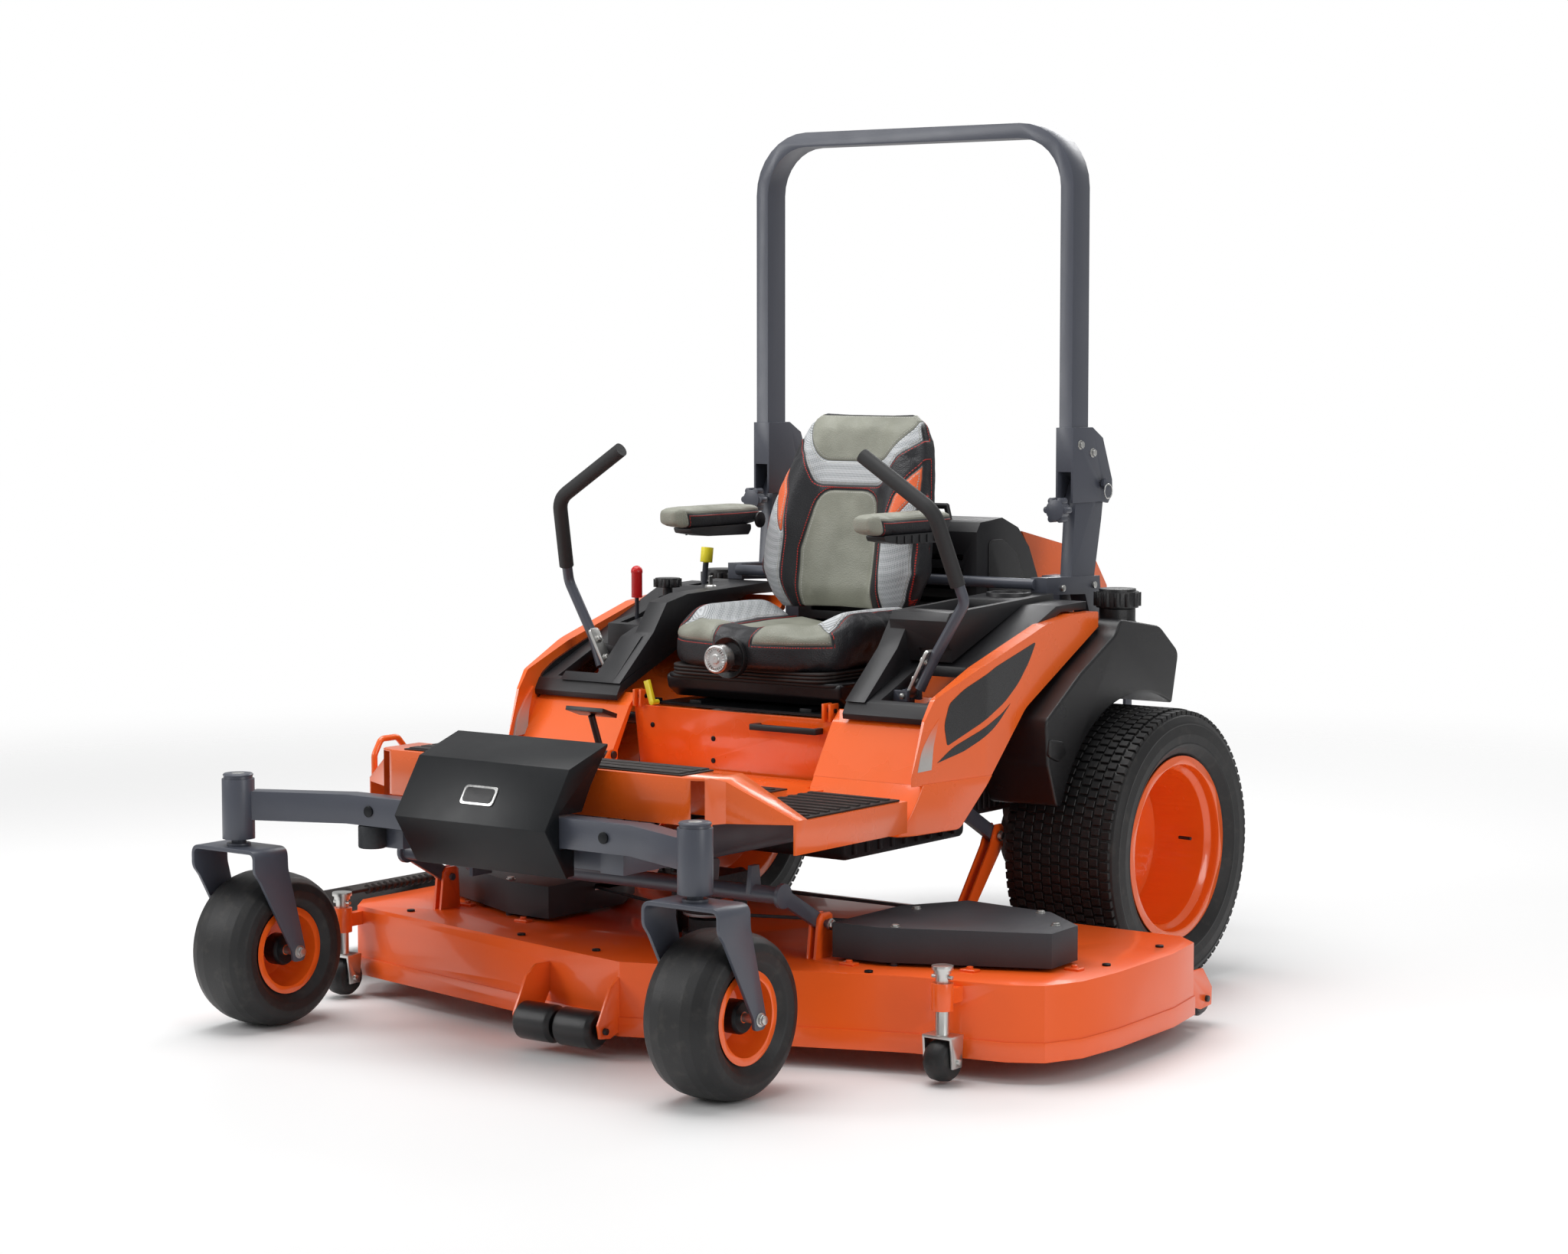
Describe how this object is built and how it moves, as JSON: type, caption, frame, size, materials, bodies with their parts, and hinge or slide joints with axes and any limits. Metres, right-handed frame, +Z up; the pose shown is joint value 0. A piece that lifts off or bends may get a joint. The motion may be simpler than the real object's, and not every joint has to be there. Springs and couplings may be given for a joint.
{
  "type": "zero turn mower",
  "caption": "Ride-on mower with twin steering levers, front swivel casters, folding roll bar, suspended seat and a wide mid-mounted cutting deck that lifts on parallel arms.",
  "frame": {"origin": "on the ground under the middle of the whole machine's box", "axes": "+Z up, the front faces -Y, the machine's left side faces +X"},
  "size_m": [2.213, 2.403, 1.982],
  "materials": {
    "orange_paint": "gloss orange paint",
    "deck_orange": "gloss red-orange powder coat",
    "slate_paint": "satin slate-grey paint",
    "black_steel": "satin black powder coat",
    "black_plastic": "fine-grained black moulded plastic",
    "cover_plastic": "dark grey moulded cover",
    "mat_rubber": "ribbed rubber matting",
    "tyre_rubber": "black tyre rubber",
    "rim_orange": "gloss orange wheel paint",
    "zinc_steel": "zinc-plated steel",
    "cast_alloy": "cast alloy",
    "engine_grey": "painted cast iron",
    "blade_steel": "bare steel",
    "seat_cover": "olive-grey leather with light mesh and black bolsters",
    "armrest_cover": "olive-grey leather pad on a black shell",
    "knob_metal": "brushed alloy",
    "red_plastic": "red knob plastic",
    "yellow_plastic": "yellow knob plastic"
  },
  "bodies": {
    "chassis": {"main_frame": "slate_paint", "front_beam": "slate_paint", "weight_box": "black_steel", "floor_pan": "orange_paint", "step_treads": "mat_rubber", "body_shell": "orange_paint", "front_panel": "orange_paint", "panel_handle": "black_plastic", "consoles": "black_plastic", "fuel_tanks": "black_plastic", "engine": "engine_grey", "radiator_housing": "black_plastic", "hydro_drives": "cast_alloy", "rops_base": "slate_paint", "battery": "black_plastic", "chassis_bolts": "zinc_steel"},
    "caster_fork_left": {"caster_fork_left": "slate_paint"},
    "caster_wheel_left": {"caster_tyre_left": "tyre_rubber", "caster_rim_left": "rim_orange"},
    "rear_wheel_left": {"rear_tyre_left": "tyre_rubber", "rear_rim_left": "rim_orange"},
    "caster_fork_right": {"caster_fork_right": "slate_paint"},
    "caster_wheel_right": {"caster_tyre_right": "tyre_rubber", "caster_rim_right": "rim_orange"},
    "rear_wheel_right": {"rear_tyre_right": "tyre_rubber", "rear_rim_right": "rim_orange"},
    "rops_hoop": {"rops_hoop": "slate_paint"},
    "lever_bracket_left": {"lever_bracket_left": "slate_paint"},
    "lever_left": {"lever_left": "black_plastic"},
    "lever_bracket_right": {"lever_bracket_right": "slate_paint"},
    "lever_right": {"lever_right": "black_plastic"},
    "seat_plate": {"seat_plate": "black_steel"},
    "seat_base": {"seat_base": "black_plastic"},
    "seat_cushion": {"seat_cushion": "seat_cover"},
    "seat_back": {"seat_back": "seat_cover"},
    "armrest_left": {"armrest_left": "armrest_cover"},
    "armrest_right": {"armrest_right": "armrest_cover"},
    "seat_knob": {"seat_knob": "knob_metal"},
    "deck": {"deck_shell": "deck_orange", "belt_covers": "cover_plastic", "deck_drive": "engine_grey", "scalp_brackets": "zinc_steel"},
    "front_lift_arms": {"front_lift_arms": "slate_paint"},
    "rear_lift_arms": {"rear_lift_arms": "slate_paint"},
    "spindle_left": {"spindle_left": "blade_steel"},
    "spindle_center": {"spindle_center": "blade_steel"},
    "spindle_right": {"spindle_right": "blade_steel"},
    "discharge_chute": {"discharge_chute": "mat_rubber"},
    "scalp_wheel_left": {"scalp_wheel_left": "tyre_rubber"},
    "scalp_wheel_right": {"scalp_wheel_right": "tyre_rubber"},
    "front_rollers": {"front_rollers": "black_plastic"},
    "rear_rollers": {"rear_rollers": "black_plastic"},
    "lift_pedal": {"lift_pedal": "black_plastic"},
    "throttle_lever": {"throttle_lever": "red_plastic"},
    "height_dial": {"height_dial": "black_plastic"},
    "brake_lever": {"brake_lever": "yellow_plastic"},
    "fuel_cap_left": {"fuel_cap_left": "black_plastic"},
    "fuel_cap_right": {"fuel_cap_right": "black_plastic"},
    "hood": {"hood": "orange_paint"},
    "seat_latch": {"seat_latch": "yellow_plastic"}
  },
  "joints": [
    {"name": "caster_swivel_left", "type": "hinge", "parent": "chassis", "child": "caster_fork_left", "pos_m": [0.619, -1.118, 0.4], "axis": [0, 0, 1], "continuous": true},
    {"name": "caster_spin_left", "type": "hinge", "parent": "caster_fork_left", "child": "caster_wheel_left", "pos_m": [0.619, -1.036, 0.167], "axis": [1, 0, 0], "continuous": true},
    {"name": "drive_wheel_left", "type": "hinge", "parent": "chassis", "child": "rear_wheel_left", "pos_m": [0.626, 0.5, 0.32], "axis": [1, 0, 0], "continuous": true},
    {"name": "caster_swivel_right", "type": "hinge", "parent": "chassis", "child": "caster_fork_right", "pos_m": [-0.619, -1.118, 0.4], "axis": [0, 0, 1], "continuous": true},
    {"name": "caster_spin_right", "type": "hinge", "parent": "caster_fork_right", "child": "caster_wheel_right", "pos_m": [-0.619, -1.036, 0.167], "axis": [1, 0, 0], "continuous": true},
    {"name": "drive_wheel_right", "type": "hinge", "parent": "chassis", "child": "rear_wheel_right", "pos_m": [-0.626, 0.5, 0.32], "axis": [1, 0, 0], "continuous": true},
    {"name": "rops_fold", "type": "hinge", "parent": "chassis", "child": "rops_hoop", "pos_m": [0, 0.643, 1.141], "axis": [-1, 0, 0], "range_deg": [0, 100]},
    {"name": "lever_drive_left", "type": "hinge", "parent": "chassis", "child": "lever_bracket_left", "pos_m": [0.424, -0.095, 0.6], "axis": [1, 0, 0], "range_deg": [-14, 14], "stiffness_Nm_per_rad": 60},
    {"name": "lever_swing_out_left", "type": "hinge", "parent": "lever_bracket_left", "child": "lever_left", "pos_m": [0.424, -0.098, 0.702], "axis": [0, 1, 0], "range_deg": [0, 20]},
    {"name": "lever_drive_right", "type": "hinge", "parent": "chassis", "child": "lever_bracket_right", "pos_m": [-0.424, -0.095, 0.6], "axis": [1, 0, 0], "range_deg": [-14, 14], "stiffness_Nm_per_rad": 60},
    {"name": "lever_swing_out_right", "type": "hinge", "parent": "lever_bracket_right", "child": "lever_right", "pos_m": [-0.424, -0.098, 0.702], "axis": [0, -1, 0], "range_deg": [0, 20]},
    {"name": "seat_tilt", "type": "hinge", "parent": "chassis", "child": "seat_plate", "pos_m": [0, -0.178, 0.664], "axis": [1, 0, 0], "range_deg": [0, 55]},
    {"name": "seat_slide", "type": "slide", "parent": "seat_plate", "child": "seat_base", "axis": [0, 1, 0], "range_m": [-0.07, 0.02]},
    {"name": "seat_suspension", "type": "slide", "parent": "seat_base", "child": "seat_cushion", "axis": [0, 0, 1], "range_m": [-0.022, 0], "stiffness_N_per_m": 40000, "springref_m": 0.02},
    {"name": "seat_recline", "type": "hinge", "parent": "seat_cushion", "child": "seat_back", "pos_m": [0, 0.272, 0.8], "axis": [-1, 0, 0], "range_deg": [-8, 6]},
    {"name": "armrest_fold_left", "type": "hinge", "parent": "seat_back", "child": "armrest_left", "pos_m": [0.27, 0.238, 1.052], "axis": [-1, 0, 0], "range_deg": [0, 85]},
    {"name": "armrest_fold_right", "type": "hinge", "parent": "seat_back", "child": "armrest_right", "pos_m": [-0.27, 0.238, 1.052], "axis": [-1, 0, 0], "range_deg": [0, 85]},
    {"name": "seat_knob_turn", "type": "hinge", "parent": "seat_cushion", "child": "seat_knob", "pos_m": [0, -0.23, 0.768], "axis": [0, 1, 0], "continuous": true},
    {"name": "deck_lift", "type": "hinge", "parent": "chassis", "child": "front_lift_arms", "pos_m": [0, -0.7, 0.345], "axis": [1, 0, 0], "range_deg": [0, 40]},
    {"name": "deck_level", "type": "hinge", "parent": "front_lift_arms", "child": "deck", "pos_m": [0, -0.565, 0.271], "axis": [1, 0, 0], "range_deg": [-40, 0]},
    {"name": "rear_lift", "type": "hinge", "parent": "chassis", "child": "rear_lift_arms", "pos_m": [0, 0.061, 0.433], "axis": [1, 0, 0], "range_deg": [0, 40]},
    {"name": "blade_spin_left", "type": "hinge", "parent": "deck", "child": "spindle_left", "pos_m": [0.78, -0.28, 0.15], "axis": [0, 0, 1], "continuous": true},
    {"name": "blade_spin_center", "type": "hinge", "parent": "deck", "child": "spindle_center", "pos_m": [0.18, -0.5, 0.15], "axis": [0, 0, 1], "continuous": true},
    {"name": "blade_spin_right", "type": "hinge", "parent": "deck", "child": "spindle_right", "pos_m": [-0.42, -0.28, 0.15], "axis": [0, 0, 1], "continuous": true},
    {"name": "chute_fold", "type": "hinge", "parent": "deck", "child": "discharge_chute", "pos_m": [-0.774, -0.36, 0.216], "axis": [0, 1, 0], "range_deg": [0, 85]},
    {"name": "scalp_spin_left", "type": "hinge", "parent": "deck", "child": "scalp_wheel_left", "pos_m": [0.897, -0.674, 0.049], "axis": [1, 0, 0], "continuous": true},
    {"name": "scalp_spin_right", "type": "hinge", "parent": "deck", "child": "scalp_wheel_right", "pos_m": [-0.69, -0.728, 0.049], "axis": [1, 0, 0], "continuous": true},
    {"name": "front_roller_spin", "type": "hinge", "parent": "deck", "child": "front_rollers", "pos_m": [0.1, -0.908, 0.062], "axis": [1, 0, 0], "continuous": true},
    {"name": "rear_roller_spin", "type": "hinge", "parent": "deck", "child": "rear_rollers", "pos_m": [0, 0.136, 0.062], "axis": [1, 0, 0], "continuous": true},
    {"name": "pedal_rock", "type": "hinge", "parent": "chassis", "child": "lift_pedal", "pos_m": [-0.291, -0.294, 0.539], "axis": [1, 0, 0], "range_deg": [-10, 12], "stiffness_Nm_per_rad": 30},
    {"name": "throttle", "type": "hinge", "parent": "chassis", "child": "throttle_lever", "pos_m": [-0.46, 0.045, 0.79], "axis": [1, 0, 0], "range_deg": [-22, 22]},
    {"name": "height_dial_turn", "type": "hinge", "parent": "chassis", "child": "height_dial", "pos_m": [-0.46, 0.163, 0.86], "axis": [0, 0, 1], "range_deg": [0, 300]},
    {"name": "brake", "type": "hinge", "parent": "chassis", "child": "brake_lever", "pos_m": [-0.46, 0.3, 0.84], "axis": [1, 0, 0], "range_deg": [0, 25]},
    {"name": "fuel_cap_turn_left", "type": "hinge", "parent": "chassis", "child": "fuel_cap_left", "pos_m": [0.575, 0.53, 0.88], "axis": [0, 0, 1], "continuous": true},
    {"name": "fuel_cap_turn_right", "type": "hinge", "parent": "chassis", "child": "fuel_cap_right", "pos_m": [-0.575, 0.53, 0.88], "axis": [0, 0, 1], "continuous": true},
    {"name": "hood_open", "type": "hinge", "parent": "chassis", "child": "hood", "pos_m": [0, 1.085, 0.705], "axis": [-1, 0, 0], "range_deg": [0, 60]},
    {"name": "latch_turn", "type": "hinge", "parent": "chassis", "child": "seat_latch", "pos_m": [-0.215, -0.2, 0.654], "axis": [0, 1, 0], "range_deg": [0, 35]}
  ],
  "couplings": [
    {"joint": "deck_level", "follows": "deck_lift", "ratio": -1},
    {"joint": "rear_lift", "follows": "deck_lift", "ratio": 1},
    {"joint": "blade_spin_center", "follows": "blade_spin_left", "ratio": 1},
    {"joint": "blade_spin_right", "follows": "blade_spin_left", "ratio": 1}
  ]
}
